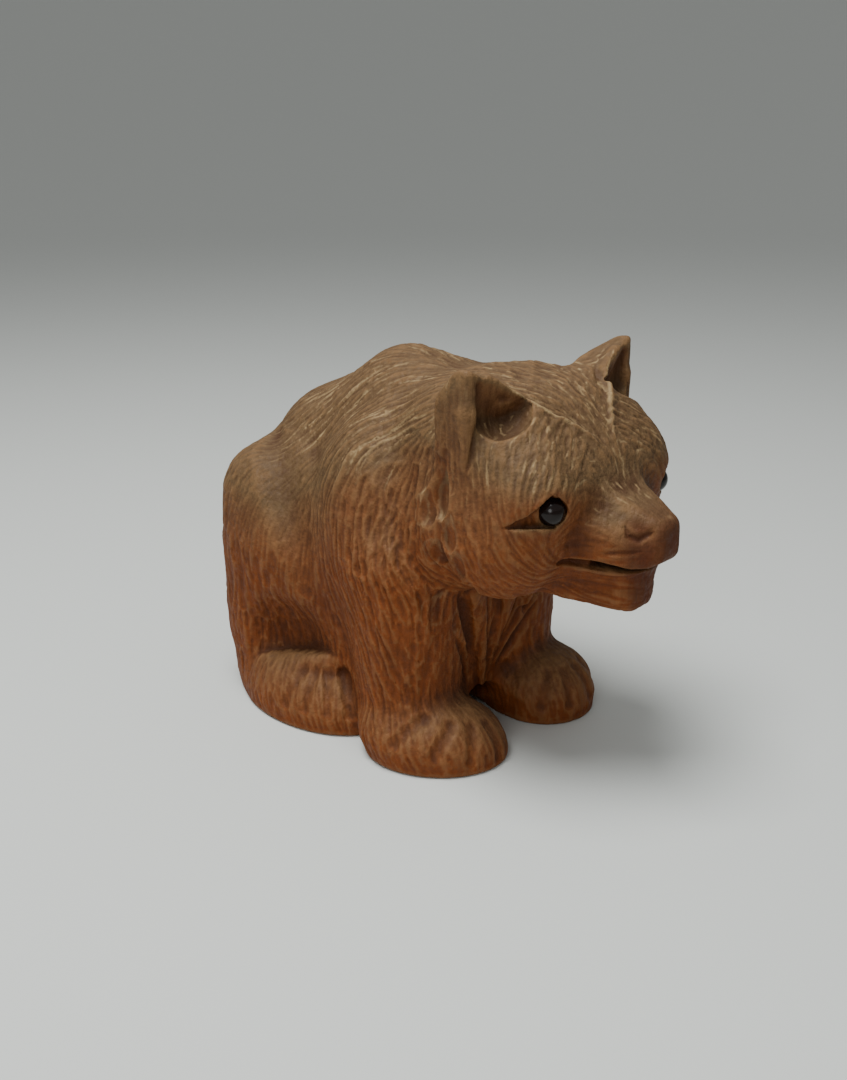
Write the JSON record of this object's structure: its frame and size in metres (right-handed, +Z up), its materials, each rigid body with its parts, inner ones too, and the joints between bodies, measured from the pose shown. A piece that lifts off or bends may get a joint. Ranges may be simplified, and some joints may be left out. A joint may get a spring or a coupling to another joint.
{
  "type": "carved wooden bear",
  "caption": "Small stained wood carving of a standing bear with a carved coat, an open mouth and dark glass bead eyes.",
  "frame": {"origin": "on the ground under the middle of the figure's bounding box", "axes": "+Z up, the bear faces -Y, its left side is +X"},
  "size_m": [0.0594, 0.1052, 0.0813],
  "materials": {
    "stained_wood": "carved by knife and gouge, stained brown, dull, worn paler on top",
    "dark_glass": "polished, nearly black"
  },
  "bodies": {
    "root": {"bear": "stained_wood", "eye_left": "dark_glass", "eye_right": "dark_glass"}
  },
  "joints": []
}
